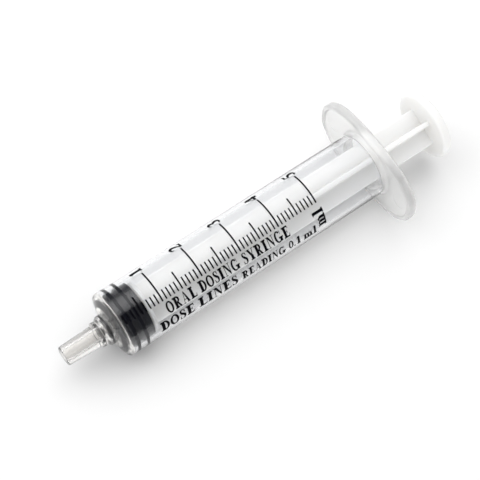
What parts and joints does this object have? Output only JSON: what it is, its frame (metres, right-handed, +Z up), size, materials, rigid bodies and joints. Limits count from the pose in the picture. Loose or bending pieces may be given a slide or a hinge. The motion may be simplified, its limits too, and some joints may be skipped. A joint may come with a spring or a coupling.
{
  "type": "oral syringe",
  "caption": "Single-use syringe: clear graduated barrel with oval finger flange and tapered slip nozzle, black rubber stopper and ribbed plunger rod with thumb press.",
  "frame": {"origin": "on the surface that the syringe lies on, under the middle of its length and width", "axes": "+X from the nozzle to the thumb press, +Z up, +Y along the finger flange; at rest the syringe axis rises 1.75 degrees towards the thumb press"},
  "size_m": [0.0886, 0.0286, 0.0174],
  "materials": {
    "clear_plastic": "clear moulded polypropylene, glossy",
    "milky_plastic": "natural unpigmented polypropylene, milky, satin",
    "black_rubber": "black moulded rubber, lightly siliconed",
    "black_ink": "black printing ink of the scale"
  },
  "bodies": {
    "barrel": {"barrel": "clear_plastic"},
    "stopper": {"stopper": "black_rubber"},
    "plunger_rod": {"plunger_rod": "milky_plastic"}
  },
  "joints": [
    {"name": "plunger_slide", "type": "slide", "parent": "barrel", "child": "stopper", "axis": [0.9995, 0, 0.0306], "range_m": [0, 0.0535]},
    {"name": "rod_turn", "type": "hinge", "parent": "stopper", "child": "plunger_rod", "pos_m": [-0.03291, 0, 0.00684], "axis": [0.9995, 0, 0.0306], "continuous": true}
  ]
}
